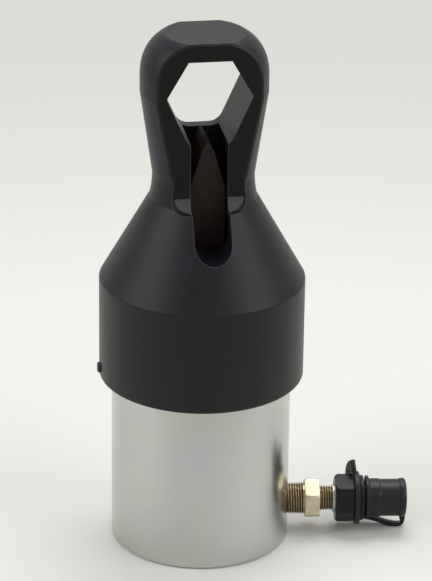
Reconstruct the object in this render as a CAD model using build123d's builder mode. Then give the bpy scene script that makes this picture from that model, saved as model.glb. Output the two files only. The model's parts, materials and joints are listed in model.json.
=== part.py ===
from build123d import *
import os
from math import cos, radians, sin, sqrt, tan

# Hydraulic nut splitter, standing on its cylinder. Millimetres, Z up along the ram,
# origin at the centre of the base. The head's flat faces look along -Y and +Y.

os.makedirs("parts", exist_ok=True)

# Clearances
run_gap = 0.05          # radial gap of a running fit
seat_gap = 0.02         # gap between pieces that are screwed or pressed together
free_gap = 0.3          # gap between pieces that move apart

# Cylinder
barrel_radius = 50
barrel_height = 150
barrel_wall = 12
base_thickness = 11
barrel_edge = 1.2       # chamfer round the foot
guide_seat_wall = 9     # metal left round the rod guide
guide_seat_depth = 12

# Oil port, a taper thread low on the cylinder
port_height = 18.5
port_turn = -7          # degrees from +X, where the head came tight on its thread
thread_taper = 1 / 32   # radius lost for each unit of length

# Head
skirt_wall = 6.9
skirt_overlap = 51      # how far the skirt reaches down the cylinder
skirt_stand = 7         # how far it stands above the cylinder
skirt_edge = 1.5
cone_height = 48.3
cone_top_radius = 29.5
neck_radius = 27.95
neck_foot = 12          # height of the hollow flare at the neck's foot
neck_height = 1.5       # straight part above that flare
bulb_radius = 34.85
bulb_rise = 60.4        # from the top of the cone to the widest part
bulb_height = 9.3       # straight part of the bulb
crown_side_radius = 32
crown_side_angle = 17
crown_corner_radius = 22.5
crown_corner_angle = 46.5
flat_thickness = 40     # across the two milled faces
flat_corner = 7         # cutter radius at the ledge
flat_edge = 0.8         # broken edge of the milled faces
ledge_drop = 1.7        # how far the ledge lies below the top of the cone
ledge_half = 20         # half of the ledge's length
head_bore_gap = 1       # round the ram
head_bore_room = 6      # left above the ram at the end of its stroke

# Nut opening
nut_width = 38          # across flats
nut_room = 2.4          # what the opening is wider than the nut
opening_rise = 62.4     # from the top of the cone to the middle of the nut
opening_depth = 27.8    # from the middle of the nut to the floor
floor_half = 10.9
opening_corner = 9
side_corner = 3.5
floor_corner = 8.5

# Blade slot, with its round end sunk below the top of the head's bore
slot_gap = 0.45         # beside the blade
slot_rear_gap = 0.2     # behind the blade
slot_sink = 5.8

# Head locking screw
lock_screw_radius = 3
lock_screw_rise = 5.6   # above the skirt's lower end
lock_screw_stand = 1.4  # how far it stands out of the skirt
lock_screw_edge = 0.4
lock_screw_hex = 3

# Ram
stroke = 18
piston_height = 24
piston_boss_radius = 30
piston_boss_height = 14
ram_radius = 22.5
ram_stand = 22          # how far it stands out of the cylinder at rest
ram_edge = 1.5
seal_depth = 5
seal_height = 4.5
backup_height = 1.5
band_depth = 2.5
band_height = 6
groove_margin = 4       # metal left between piston end and groove

# Rod guide and wiper
wiper_depth = 4.4
wiper_height = 4
wiper_cover = 1.2

# Return spring
spring_stand = 7.5      # from the rod to the middle of the wire
spring_wire = 6
spring_turns = 7

# Blade
blade_width = 19.5
blade_front = -14.5
blade_rear = 13
blade_show = 1.1        # how far its tip stands above the opening's floor
blade_shank = 42        # straight part above the ram
blade_nib = 5.2         # height of the blunt wedge at the tip
blade_nib_half = 3.2
blade_seat = 18         # depth of the socket in the ram
blade_screw_radius = 4
blade_screw_hex = 4

# Nipple, tapered thread, hexagon, tapered thread
nipple_big_radius = 9
nipple_small_radius = 7
nipple_hex_width = 21
nipple_hex_stand = 9.7  # from the cylinder to the hexagon
nipple_hex_length = 8.1
nipple_hex_edge = 0.6
nipple_sink = 1.5       # its inner end stays this far outside the cylinder's bore
nipple_hole = 3
washer_radius = 7.9
washer_thickness = 1.4

# Quick coupling
coupling_gap = 9.1      # from the nipple's hexagon to the coupling
coupling_thread = 9.1   # how far the nipple goes in
coupling_length = 36.1
coupling_hex_width = 24
coupling_hex_length = 10.5
coupling_hex_turn = 40.8
coupling_hex_edge = 1.6
neck_groove_radius = 10.5
collar_radius = 12.9
collar_length = 2
nose_radius = 9.1
nose_edge = 1
valve_chamber = 5.6     # radius
valve_mouth = 3.2       # radius
mouth_length = 4
o_ring_wire = 1.1

# Check valve
poppet_travel = 3
poppet_stem = 2.1
poppet_head = 4.6
poppet_head_length = 4
valve_spring_radius = 3.6
valve_spring_wire = 1
valve_spring_turns = 4
cage_length = 3

# Dust cap with its ring and strap
ring_radius = 15.2
ring_thickness = 3
tab_top = 23.4          # from the port's axis
tab_width = 14
tab_thickness = 2.3
tab_turn = 18.5         # degrees that the tab is twisted out of the ring's plane
cap_gap = 1.2           # between collar and cap
cap_body_radius = 10.6
cap_rim_radius = 12.6
cap_rim_length = 2
cap_rib_length = 6
cap_rib_radius = 11
cap_roof = 5            # from the nose's end to the cap's end
cap_end_radius = 11.1
cap_end_thickness = 4.4
cap_end_round = 3.2
strap_width = 4.4
strap_thickness = 2.4
strap_drop = 16.6       # centre of the strap below the port's axis
strap_rise = 14.3
strap_flat = 9.5        # straight part at the bottom
strap_aside = 5.5
strap_bend = 2.2
strap_gap = 0.8         # left between the strap's end and the ring

# Derived places
barrel_bore = barrel_radius - barrel_wall
guide_seat_radius = barrel_radius - guide_seat_wall
head_seat = barrel_height + seat_gap
guide_bottom = barrel_height - guide_seat_depth
piston_bottom = base_thickness + free_gap + piston_boss_height
piston_top = piston_bottom + piston_height
piston_radius = barrel_bore - run_gap
ram_top = barrel_height + ram_stand
head_bore = ram_radius + head_bore_gap
head_bore_top = ram_top + stroke + head_bore_room
skirt_radius = barrel_radius + skirt_wall
skirt_bottom = barrel_height - skirt_overlap
skirt_top = barrel_height + skirt_stand
cone_top = skirt_top + cone_height
neck_bottom = cone_top + neck_foot
neck_top = neck_bottom + neck_height
neck_step = cone_top_radius - neck_radius
neck_foot_radius = (neck_foot ** 2 + neck_step ** 2) / (2 * neck_step)
bulb_start = cone_top + bulb_rise
bulb_top = bulb_start + bulb_height
opening_height = cone_top + opening_rise
opening_floor = opening_height - opening_depth
opening_width = nut_width + nut_room
opening_half = opening_width / 2
opening_point = opening_width / sqrt(3)
opening_top = opening_height + opening_half
flat_half = flat_thickness / 2
ledge = cone_top - ledge_drop
lock_screw_height = skirt_bottom + lock_screw_rise
slot_width = blade_width + 2 * slot_gap
slot_rear = blade_rear + slot_rear_gap
slot_centre = head_bore_top - slot_sink
blade_tip = opening_floor + blade_show
blade_shoulder = ram_top + blade_shank
spring_radius = ram_radius + spring_stand
nipple_inner_end = barrel_bore + nipple_sink
nipple_hex_start = barrel_radius + nipple_hex_stand
nipple_hex_end = nipple_hex_start + nipple_hex_length
coupling_start = nipple_hex_end + coupling_gap
nipple_outer_end = coupling_start + coupling_thread
coupling_hex_end = coupling_start + coupling_hex_length
nose_end = coupling_start + coupling_length
ring_start = coupling_hex_end + free_gap
ring_end = ring_start + ring_thickness
collar_start = ring_end + free_gap
collar_end = collar_start + collar_length
cap_mouth = collar_end + cap_gap
cap_end = nose_end + cap_roof
past = 5                # how far a cutter runs past the metal

# The port's own frame: local x leaves the cylinder, local y is up
port_way = Vector(cos(radians(port_turn)), sin(radians(port_turn)), 0)
port_origin = Vector(0, 0, port_height)
port_section = Plane(origin=port_origin, x_dir=port_way, z_dir=port_way.cross(Vector(0, 0, 1)))
port_axis = Axis(port_origin, port_way)


def port_face(reach):
    """Plane square to the port, reach from the ram's axis, with its own x pointing up."""
    return Plane(origin=port_origin + port_way * reach, x_dir=(0, 0, 1), z_dir=port_way)


def thread_radius_at(reach):
    """Radius of the big tapered thread at a reach from the ram's axis."""
    return nipple_big_radius - (nipple_hex_start - reach) * thread_taper


# Barrel, closed at the foot, with its bore, guide seat and tapered port
with BuildPart() as barrel:
    with BuildSketch(Plane.XZ):
        with BuildLine():
            Polyline(
                (0, 0), (barrel_radius, 0), (barrel_radius, barrel_height),
                (guide_seat_radius, barrel_height), (guide_seat_radius, guide_bottom),
                (barrel_bore, guide_bottom), (barrel_bore, base_thickness), (0, base_thickness),
                close=True,
            )
        make_face()
    revolve(axis=Axis.Z)
    chamfer(barrel.edges().filter_by(GeomType.CIRCLE).group_by(Axis.Z)[0], barrel_edge)
    chamfer(barrel.edges().filter_by(GeomType.CIRCLE).group_by(Axis.Z)[-1].sort_by(SortBy.RADIUS)[-1],
            barrel_edge)
    with BuildSketch(port_section):
        with BuildLine():
            Polyline(
                (barrel_bore - past, 0), (barrel_radius + past, 0),
                (barrel_radius + past, thread_radius_at(barrel_radius + past) + seat_gap),
                (barrel_bore - past, thread_radius_at(barrel_bore - past) + seat_gap),
                close=True,
            )
        make_face()
    revolve(axis=port_axis, mode=Mode.SUBTRACT)
barrel.part.label = "barrel"

# Head: one forging with skirt, cone, neck and bulb, turned and then milled
with BuildPart() as head:
    with BuildSketch(Plane.XZ):
        with BuildLine():
            outer = Polyline(
                (head_bore, head_seat), (barrel_radius + seat_gap, head_seat),
                (barrel_radius + seat_gap, skirt_bottom), (skirt_radius, skirt_bottom),
                (skirt_radius, skirt_top), (cone_top_radius, cone_top),
            )
            foot = RadiusArc(outer @ 1, (neck_radius, neck_bottom), neck_foot_radius)
            waist = Polyline(
                foot @ 1, (neck_radius, neck_top), (bulb_radius, bulb_start), (bulb_radius, bulb_top),
            )
            side = JernArc(waist @ 1, (0, 1), crown_side_radius, crown_side_angle)
            corner = JernArc(side @ 1, side % 1, crown_corner_radius, crown_corner_angle)
            Polyline(
                corner @ 1, (0, (corner @ 1).Y), (0, head_bore_top),
                (head_bore, head_bore_top), outer @ 0,
            )
        make_face()
    revolve(axis=Axis.Z)
    skirt_rings = head.edges().filter_by(GeomType.CIRCLE).filter_by(
        lambda e: abs(e.radius - skirt_radius) < seat_gap)
    fillet(skirt_rings, skirt_edge)
    # Two milled faces, each with a short ledge cut into the cone by the cutter's corner
    with BuildSketch(Plane.YZ.offset(-ledge_half)):
        with BuildLine():
            Polyline(
                (flat_half, ledge), (skirt_radius, ledge), (skirt_radius, neck_top),
                (flat_half, neck_top), close=True,
            )
        face = make_face()
        fillet(face.vertices().group_by(Axis.Y)[0].sort_by(Axis.X)[0], flat_corner)
        mirror(about=Plane.YZ)
    extrude(amount=2 * ledge_half, mode=Mode.SUBTRACT)
    with BuildSketch(Plane.YZ.offset(-skirt_radius)):
        with BuildLine():
            Polyline(
                (flat_half, ledge + flat_corner), (skirt_radius, ledge + flat_corner),
                (skirt_radius, bulb_top + skirt_radius), (flat_half, bulb_top + skirt_radius),
                close=True,
            )
        make_face()
        mirror(about=Plane.YZ)
    extrude(amount=2 * skirt_radius, mode=Mode.SUBTRACT)
    flats = head.faces().filter_by(Axis.Y).group_by(SortBy.AREA)[-1]
    bulb_outline = flats.edges().filter_by(lambda edge: edge.center().Z > neck_top)
    chamfer(bulb_outline, flat_edge)
    # Nut opening, a hexagon whose lower sides run steeper down to a round-cornered floor
    with BuildSketch(Plane.XZ.offset(flat_half + past)):
        with BuildLine():
            Polyline(
                (opening_point / 2, opening_top), (opening_point, opening_height),
                (floor_half, opening_floor), (-floor_half, opening_floor),
                (-opening_point, opening_height), (-opening_point / 2, opening_top),
                close=True,
            )
        hexagon = make_face()
        floor_points, side_points, top_points = hexagon.vertices().group_by(Axis.Y)
        fillet(floor_points, floor_corner)
        fillet(side_points, side_corner)
        fillet(top_points, opening_corner)
    extrude(amount=-2 * (flat_half + past), mode=Mode.SUBTRACT)
    # Blade slot, open to the front and round at its lower end
    with BuildSketch(Plane.XZ.offset(-slot_rear)):
        with Locations((0, slot_centre)):
            Circle(slot_width / 2)
        with Locations((0, (slot_centre + opening_height) / 2)):
            Rectangle(slot_width, opening_height - slot_centre)
    extrude(amount=slot_rear + skirt_radius, mode=Mode.SUBTRACT)
    # Tapped hole for the locking screw
    with BuildSketch(Plane(origin=(-skirt_radius - past, 0, lock_screw_height), z_dir=(1, 0, 0))):
        Circle(lock_screw_radius + seat_gap)
    extrude(amount=past + skirt_radius - barrel_radius + past, mode=Mode.SUBTRACT)
head.part.label = "head"

# Locking screw with its hexagon socket, through the skirt onto the barrel
with BuildPart() as lock_screw:
    lock_face = Plane(origin=(-skirt_radius - lock_screw_stand, 0, lock_screw_height), z_dir=(1, 0, 0))
    with BuildSketch(lock_face):
        Circle(lock_screw_radius)
    extrude(amount=skirt_radius + lock_screw_stand - barrel_radius - seat_gap)
    chamfer(lock_screw.edges().filter_by(GeomType.CIRCLE).group_by(Axis.X)[0], lock_screw_edge)
    with BuildSketch(lock_face):
        RegularPolygon(lock_screw_hex / 2, 6, major_radius=False)
    extrude(amount=lock_screw_hex, mode=Mode.SUBTRACT)
lock_screw.part.label = "head_locking_screw"

# Rod guide in the barrel's mouth, with a groove for the wiper
wiper_bottom = barrel_height - wiper_cover - wiper_height
with BuildPart() as rod_guide:
    with BuildSketch(Plane.XZ):
        with BuildLine():
            Polyline(
                (ram_radius + run_gap, guide_bottom + seat_gap),
                (guide_seat_radius - seat_gap, guide_bottom + seat_gap),
                (guide_seat_radius - seat_gap, barrel_height),
                (ram_radius + run_gap, barrel_height),
                (ram_radius + run_gap, wiper_bottom + wiper_height),
                (ram_radius + wiper_depth, wiper_bottom + wiper_height),
                (ram_radius + wiper_depth, wiper_bottom),
                (ram_radius + run_gap, wiper_bottom), close=True,
            )
        make_face()
    revolve(axis=Axis.Z)
rod_guide.part.label = "rod_guide"

with BuildPart() as rod_wiper:
    with BuildSketch(Plane.XZ):
        with BuildLine():
            Polyline(
                (ram_radius + wiper_depth - seat_gap, wiper_bottom + seat_gap),
                (ram_radius + wiper_depth - seat_gap, wiper_bottom + wiper_height - seat_gap),
                (ram_radius + run_gap, wiper_bottom + wiper_height - seat_gap),
                (ram_radius + wiper_depth / 2, wiper_bottom + wiper_height / 2),
                (ram_radius + wiper_depth / 2, wiper_bottom + seat_gap), close=True,
            )
        make_face()
    revolve(axis=Axis.Z)
rod_wiper.part.label = "rod_wiper"

# Ram: piston with ring grooves, rod, and a socket for the blade at the top
seal_bottom = piston_bottom + groove_margin
band_bottom = piston_top - groove_margin - band_height
ring_stack = seal_height + backup_height
blade_depth = blade_rear - blade_front
blade_middle = (blade_rear + blade_front) / 2
blade_foot = ram_top - blade_seat
with BuildPart() as ram:
    with BuildSketch(Plane.XZ):
        with BuildLine():
            Polyline(
                (0, base_thickness + free_gap), (piston_boss_radius, base_thickness + free_gap),
                (piston_boss_radius, piston_bottom), (piston_radius, piston_bottom),
                (piston_radius, seal_bottom), (piston_radius - seal_depth, seal_bottom),
                (piston_radius - seal_depth, seal_bottom + ring_stack),
                (piston_radius, seal_bottom + ring_stack), (piston_radius, band_bottom),
                (piston_radius - band_depth, band_bottom),
                (piston_radius - band_depth, band_bottom + band_height),
                (piston_radius, band_bottom + band_height), (piston_radius, piston_top),
                (ram_radius, piston_top), (ram_radius, ram_top), (0, ram_top), close=True,
            )
        make_face()
    revolve(axis=Axis.Z)
    chamfer(ram.edges().filter_by(GeomType.CIRCLE).group_by(Axis.Z)[-1], ram_edge)
    with BuildSketch(Plane.XY.offset(blade_foot)):
        with Locations((0, blade_middle)):
            Rectangle(blade_width + 2 * seat_gap, blade_depth + 2 * seat_gap)
    extrude(amount=blade_seat + past, mode=Mode.SUBTRACT)
    # Side screw that holds the blade's foot
    with BuildSketch(Plane(origin=(0, blade_rear, blade_foot + blade_seat / 2), z_dir=(0, 1, 0))):
        Circle(blade_screw_radius + seat_gap)
    extrude(amount=ram_radius, mode=Mode.SUBTRACT)
ram.part.label = "ram"

# Piston rings: lipped pressure seal, backup ring and guide band
lip = seal_depth / 3
with BuildPart() as piston_seal:
    with BuildSketch(Plane.XZ):
        with BuildLine():
            Polyline(
                (piston_radius - seal_depth + seat_gap, seal_bottom + seat_gap),
                (piston_radius - seal_depth + lip, seal_bottom + seat_gap),
                (piston_radius - seal_depth / 2, seal_bottom + seal_height / 2),
                (piston_radius - lip, seal_bottom + seat_gap),
                (piston_radius, seal_bottom + seat_gap),
                (piston_radius, seal_bottom + seal_height),
                (piston_radius - seal_depth + seat_gap, seal_bottom + seal_height), close=True,
            )
        make_face()
    revolve(axis=Axis.Z)
piston_seal.part.label = "piston_seal"


def ring_between(inner, outer, low, high):
    """Plain ring round the ram's axis."""
    with BuildPart() as ring:
        with BuildSketch(Plane.XY.offset(low)):
            Circle(outer)
            Circle(inner, mode=Mode.SUBTRACT)
        extrude(amount=high - low)
    return ring.part


backup_ring = ring_between(
    piston_radius - seal_depth + seat_gap, piston_radius,
    seal_bottom + seal_height + seat_gap, seal_bottom + ring_stack - seat_gap,
)
backup_ring.label = "backup_ring"

guide_band = ring_between(
    piston_radius - band_depth + seat_gap, piston_radius,
    band_bottom + seat_gap, band_bottom + band_height - seat_gap,
)
guide_band.label = "guide_band"

# Return spring between the piston and the rod guide
spring_low = piston_top + free_gap + spring_wire / 2
spring_high = guide_bottom - free_gap - spring_wire / 2
with BuildPart() as return_spring:
    with BuildLine(Plane.XY.offset(spring_low)):
        coil = Helix((spring_high - spring_low) / spring_turns, spring_high - spring_low, spring_radius)
    with BuildSketch(Plane(origin=coil @ 0, z_dir=coil % 0)):
        Circle(spring_wire / 2)
    sweep()
return_spring.part.label = "return_spring"

# Blade with a blunt nib on a slender wedge
with BuildPart() as blade:
    with BuildSketch(Plane.XZ.offset(-blade_rear)):
        with BuildLine():
            foot_line = Line((-blade_width / 2, blade_foot), (blade_width / 2, blade_foot))
            right = Polyline(
                foot_line @ 1, (blade_width / 2, blade_shoulder),
                (blade_nib_half, blade_tip - blade_nib), (0, blade_tip),
            )
            Polyline(
                right @ 1, (-blade_nib_half, blade_tip - blade_nib),
                (-blade_width / 2, blade_shoulder), foot_line @ 0,
            )
        make_face()
    extrude(amount=blade_depth)
blade.part.label = "blade"

with BuildPart() as blade_screw:
    screw_end = sqrt(ram_radius ** 2 - blade_screw_radius ** 2)
    screw_face = Plane(origin=(0, screw_end, blade_foot + blade_seat / 2), z_dir=(0, -1, 0))
    with BuildSketch(screw_face):
        Circle(blade_screw_radius)
    extrude(amount=screw_end - blade_rear - seat_gap)
    with BuildSketch(screw_face):
        RegularPolygon(blade_screw_hex / 2, 6, major_radius=False)
    extrude(amount=blade_screw_hex, mode=Mode.SUBTRACT)
blade_screw.part.label = "blade_screw"

# Nipple between the port and the coupling
small_end_radius = nipple_small_radius - (nipple_outer_end - nipple_hex_end) * thread_taper
with BuildPart() as nipple:
    with BuildSketch(port_section):
        with BuildLine():
            Polyline(
                (nipple_inner_end, nipple_hole),
                (nipple_inner_end, thread_radius_at(nipple_inner_end)),
                (nipple_hex_start, nipple_big_radius), (nipple_hex_end, nipple_big_radius),
                (nipple_hex_end, nipple_small_radius), (nipple_outer_end, small_end_radius),
                (nipple_outer_end, nipple_hole), close=True,
            )
        make_face()
    revolve(axis=port_axis)
    with BuildSketch(port_face(nipple_hex_start)):
        RegularPolygon(nipple_hex_width / 2, 6, major_radius=False)
        Circle(nipple_hole, mode=Mode.SUBTRACT)
    extrude(amount=nipple_hex_length)
    with BuildSketch(port_section):
        with BuildLine():
            hex_round = nipple_hex_width / sqrt(3)
            for hex_face, inward in ((nipple_hex_start, 1), (nipple_hex_end, -1)):
                Polyline(
                    (hex_face, hex_round - nipple_hex_edge),
                    (hex_face + inward * nipple_hex_edge, hex_round), (hex_face, hex_round),
                    close=True,
                )
        make_face()
    revolve(axis=port_axis, mode=Mode.SUBTRACT)
nipple.part.label = "nipple"

# Sealing washer between nipple and coupling
with BuildPart() as sealing_washer:
    with BuildSketch(port_face(coupling_start - seat_gap - washer_thickness)):
        Circle(washer_radius)
        Circle(nipple_small_radius + seat_gap, mode=Mode.SUBTRACT)
    extrude(amount=washer_thickness)
sealing_washer.part.label = "sealing_washer"

# Coupling body: hexagon, ring groove, collar, and the nose that takes the hose
mouth_start = nose_end - mouth_length
cage_start = nipple_outer_end + seat_gap
with BuildPart() as coupling_body:
    with BuildSketch(port_section):
        with BuildLine():
            Polyline(
                (coupling_start, nipple_small_radius + seat_gap),
                (coupling_start, neck_groove_radius), (collar_start, neck_groove_radius),
                (collar_start, collar_radius), (collar_end, collar_radius),
                (collar_end, nose_radius), (nose_end - nose_edge, nose_radius),
                (nose_end, nose_radius - nose_edge), (nose_end, valve_mouth),
                (mouth_start, valve_mouth), (mouth_start, valve_chamber),
                (nipple_outer_end, valve_chamber),
                (nipple_outer_end, small_end_radius + seat_gap), close=True,
            )
        make_face()
    revolve(axis=port_axis)
    with BuildSketch(port_face(coupling_start)):
        RegularPolygon(coupling_hex_width / 2, 6, major_radius=False, rotation=coupling_hex_turn)
        Circle(neck_groove_radius, mode=Mode.SUBTRACT)
    extrude(amount=coupling_hex_length)
    with BuildSketch(port_section):
        with BuildLine():
            point = coupling_hex_width / sqrt(3)
            Polyline(
                (coupling_start, point - coupling_hex_edge),
                (coupling_start + coupling_hex_edge, point), (coupling_start, point), close=True,
            )
        make_face()
    revolve(axis=port_axis, mode=Mode.SUBTRACT)
coupling_body.part.label = "coupling_body"

# Check valve: cage against the nipple's end, spring, poppet and seat ring
with BuildPart() as valve_cage:
    with BuildSketch(port_face(cage_start)):
        Circle(valve_chamber - seat_gap)
        Circle(poppet_stem + run_gap, mode=Mode.SUBTRACT)
        with PolarLocations((poppet_stem + valve_chamber) / 2, 4):
            Circle(valve_chamber / 8, mode=Mode.SUBTRACT)
    extrude(amount=cage_length)
valve_cage.part.label = "valve_cage"

poppet_face = mouth_start - free_gap - o_ring_wire
poppet_back = poppet_face - poppet_head_length
stem_end = cage_start - poppet_head_length / 4
with BuildPart() as poppet:
    with BuildSketch(port_section):
        with BuildLine():
            Polyline(
                (stem_end, 0), (stem_end, poppet_stem), (poppet_back, poppet_stem),
                (poppet_back, poppet_head), (poppet_face - o_ring_wire, poppet_head),
                (poppet_face, poppet_stem + run_gap), (nose_end - nose_edge, poppet_stem),
                (nose_end - nose_edge, 0), close=True,
            )
        make_face()
    revolve(axis=port_axis)
poppet.part.label = "poppet"

valve_spring_start = cage_start + cage_length + free_gap / 3 + valve_spring_wire / 2
valve_spring_end = poppet_back - poppet_travel - free_gap - valve_spring_wire / 2
valve_spring_length = valve_spring_end - valve_spring_start
with BuildPart() as valve_spring:
    with BuildLine():
        small_coil = Helix(
            valve_spring_length / valve_spring_turns, valve_spring_length, valve_spring_radius,
            center=port_origin + port_way * valve_spring_start, direction=port_way,
        )
    with BuildSketch(Plane(origin=small_coil @ 0, z_dir=small_coil % 0)):
        Circle(valve_spring_wire / 2)
    sweep()
valve_spring.part.label = "valve_spring"

with BuildPart() as valve_seat_ring:
    with BuildSketch(port_section):
        with Locations((mouth_start - seat_gap - o_ring_wire / 2,
                        valve_chamber - seat_gap - o_ring_wire / 2)):
            Circle(o_ring_wire / 2)
    revolve(axis=port_axis)
valve_seat_ring.part.label = "valve_seat_ring"

# Rubber ring of the dust cap, in the coupling's groove, with its twisted pull tab on top
hex_clear = coupling_hex_width / sqrt(3) + free_gap
tab_foot = (ring_radius + hex_clear) / 2
tab_way = port_way.rotate(Axis.Z, tab_turn)
with BuildPart() as cap_ring:
    with BuildSketch(port_face(ring_start)):
        Circle(ring_radius)
        with Locations((tab_foot / 2, 0)):
            Rectangle(tab_foot, tab_width)
        Circle(neck_groove_radius + free_gap, mode=Mode.SUBTRACT)
    extrude(amount=ring_thickness)
    tab_middle = port_origin + port_way * (ring_start + ring_thickness / 2)
    with BuildSketch(Plane(origin=tab_middle, x_dir=(0, 0, 1), z_dir=tab_way)):
        with BuildLine():
            tab_low = Polyline(
                (tab_top - tab_width / 2, tab_width / 2), (hex_clear, tab_width / 2),
                (hex_clear, -tab_width / 2), (tab_top - tab_width / 2, -tab_width / 2),
            )
            ThreePointArc(tab_low @ 1, (tab_top, 0), tab_low @ 0)
        make_face()
    extrude(amount=tab_thickness / 2, both=True)
cap_ring.part.label = "cap_ring"

# Dust cap, pushed over the coupling's nose
cap_inner = nose_radius + free_gap
with BuildPart() as dust_cap:
    with BuildSketch(port_section):
        with BuildLine():
            rim_end = cap_mouth + cap_rim_length
            rib_end = rim_end + cap_rib_length
            Polyline(
                (cap_mouth, cap_inner), (cap_mouth, cap_rim_radius), (rim_end, cap_rim_radius),
                (rim_end, cap_rib_radius), (rib_end, cap_rib_radius), (rib_end, cap_body_radius),
                (cap_end - cap_end_thickness, cap_body_radius),
                (cap_end - cap_end_thickness, cap_end_radius), (cap_end, cap_end_radius),
                (cap_end, 0), (nose_end + free_gap, 0), (nose_end + free_gap, cap_inner),
                close=True,
            )
        make_face()
    revolve(axis=port_axis)
    fillet(dust_cap.edges().filter_by(GeomType.CIRCLE).sort_by(port_axis)[-1], cap_end_round)
dust_cap.part.label = "dust_cap"

# Strap from the cap's end, down and back under the cap to the ring
strap_reach = cap_end - strap_thickness
strap_run = strap_reach - ring_end - strap_gap - strap_thickness / 2
strap_way = (port_way * -strap_run + port_section.z_dir * -strap_aside).normalized()
strap_plane = Plane(
    origin=port_origin + port_way * strap_reach, x_dir=strap_way,
    z_dir=strap_way.cross(Vector(0, 0, 1)),
)
strap_length = sqrt(strap_run ** 2 + strap_aside ** 2)
with BuildPart() as cap_strap:
    with BuildSketch(strap_plane):
        with BuildLine():
            strap_line = FilletPolyline(
                (0, -cap_end_radius + strap_thickness), (0, -strap_drop),
                (strap_flat, -strap_drop), (strap_length, -strap_rise),
                radius=strap_bend,
            )
            offset(amount=strap_thickness / 2, side=Side.BOTH)
        make_face()
    extrude(amount=strap_width / 2, both=True)
    with BuildSketch(port_face(cap_end - cap_end_thickness - past)):
        Circle(cap_end_radius + seat_gap)
    extrude(amount=cap_end_thickness + 2 * past, mode=Mode.SUBTRACT)
cap_strap.part.label = "cap_strap"

pieces = [
    barrel.part, head.part, lock_screw.part, rod_guide.part, rod_wiper.part,
    ram.part, piston_seal.part, backup_ring, guide_band, return_spring.part,
    blade.part, blade_screw.part, nipple.part, sealing_washer.part, coupling_body.part,
    valve_cage.part, poppet.part, valve_spring.part, valve_seat_ring.part,
    cap_ring.part, dust_cap.part, cap_strap.part,
]
for piece in pieces:
    export_step(piece, f"parts/{piece.label}.step")
    print(piece.label, len(piece.solids()), round(piece.volume, 2))
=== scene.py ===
import json
import math
import bmesh
import bpy
import numpy as np
from mathutils import Matrix, Vector


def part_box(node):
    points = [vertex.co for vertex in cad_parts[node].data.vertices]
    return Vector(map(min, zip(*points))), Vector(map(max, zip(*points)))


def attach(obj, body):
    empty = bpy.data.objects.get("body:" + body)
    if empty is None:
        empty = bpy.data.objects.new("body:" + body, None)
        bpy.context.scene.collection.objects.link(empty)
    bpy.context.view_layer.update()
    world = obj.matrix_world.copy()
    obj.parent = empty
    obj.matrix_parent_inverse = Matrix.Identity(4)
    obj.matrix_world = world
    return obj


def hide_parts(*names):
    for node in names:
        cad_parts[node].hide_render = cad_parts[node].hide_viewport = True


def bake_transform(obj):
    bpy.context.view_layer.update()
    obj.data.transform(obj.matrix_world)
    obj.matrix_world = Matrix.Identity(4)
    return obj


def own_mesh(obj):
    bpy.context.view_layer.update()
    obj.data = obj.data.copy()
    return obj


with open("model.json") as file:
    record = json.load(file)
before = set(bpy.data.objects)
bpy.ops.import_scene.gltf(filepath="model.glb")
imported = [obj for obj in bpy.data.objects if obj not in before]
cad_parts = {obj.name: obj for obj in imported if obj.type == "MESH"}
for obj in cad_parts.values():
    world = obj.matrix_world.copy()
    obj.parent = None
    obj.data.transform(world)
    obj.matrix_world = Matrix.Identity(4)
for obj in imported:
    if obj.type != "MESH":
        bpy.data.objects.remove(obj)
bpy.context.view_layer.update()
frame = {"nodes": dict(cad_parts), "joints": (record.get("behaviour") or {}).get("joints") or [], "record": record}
print("frame loaded:", len(frame["nodes"]), "nodes")

mm = 0.001

# The oil port's axis, read from the joints of the dust cap and its ring
joints = {joint["name"]: joint for joint in frame["joints"]}
portWay = np.array(joints["cap_pull"]["axis"], float)
portRise = np.array([0.0, 0.0, 1.0])
portSide = np.cross(portWay, portRise)  # towards the front of the tool
portFoot = portRise * joints["cap_ring_turn"]["pos_m"][2]


# Smallest and largest distance of a node from the ram's axis along the port, in millimetres
def reachOf(node):
    mesh = frame["nodes"][node].data
    flat = np.empty(len(mesh.vertices) * 3)
    mesh.vertices.foreach_get("co", flat)
    along = (flat.reshape(-1, 3) - portFoot) @ portWay / mm
    return along.min(), along.max()


# Linear colour from an sRGB hex code such as #a0a0a0, by the sRGB standard's curve
def sRgb(code):
    part = np.array([int(code[i:i + 2], 16) for i in (1, 3, 5)]) / 255
    linear = np.where(part <= 0.04045, part / 12.92, ((part + 0.055) / 1.055) ** 2.4)
    return (*linear.tolist(), 1.0)


# Adds a node, sets its settings, and sets or links its inputs
def addNode(tree, kind, inputs=None, **settings):
    made = tree.nodes.new(kind)
    for key, value in settings.items():
        setattr(made, key, value)
    for key, value in (inputs or {}).items():
        if isinstance(value, bpy.types.NodeSocket):
            tree.links.new(value, made.inputs[key])
        else:
            made.inputs[key].default_value = value
    return made


# A Principled material; the finish that calls this links its colour and patterns in
def newMaterial(name, metallic, specular=0.5):
    made = bpy.data.materials.new(name)
    made.use_nodes = True
    shader = made.node_tree.nodes["Principled BSDF"]
    shader.inputs["Metallic"].default_value = metallic
    shader.inputs["Specular IOR Level"].default_value = specular
    return made, made.node_tree, shader


# Colour ramp; stops are (place, hex code)
def ramp(tree, factor, stops):
    made = addNode(tree, "ShaderNodeValToRGB", {"Fac": factor})
    band = made.color_ramp
    while len(band.elements) < len(stops):
        band.elements.new(0.5)
    for element, (place, code) in zip(band.elements, stops):
        element.position = place
        element.color = sRgb(code)
    return made.outputs["Color"]


# Noise whose spots are about size millimetres across, in the object's own coordinates
def grain(tree, size, detail):
    place = addNode(tree, "ShaderNodeTexCoord").outputs["Object"]
    noise = addNode(tree, "ShaderNodeTexNoise", {
        "Vector": place, "Scale": 1 / (size * mm), "Detail": detail})
    return noise.outputs["Fac"]


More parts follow.
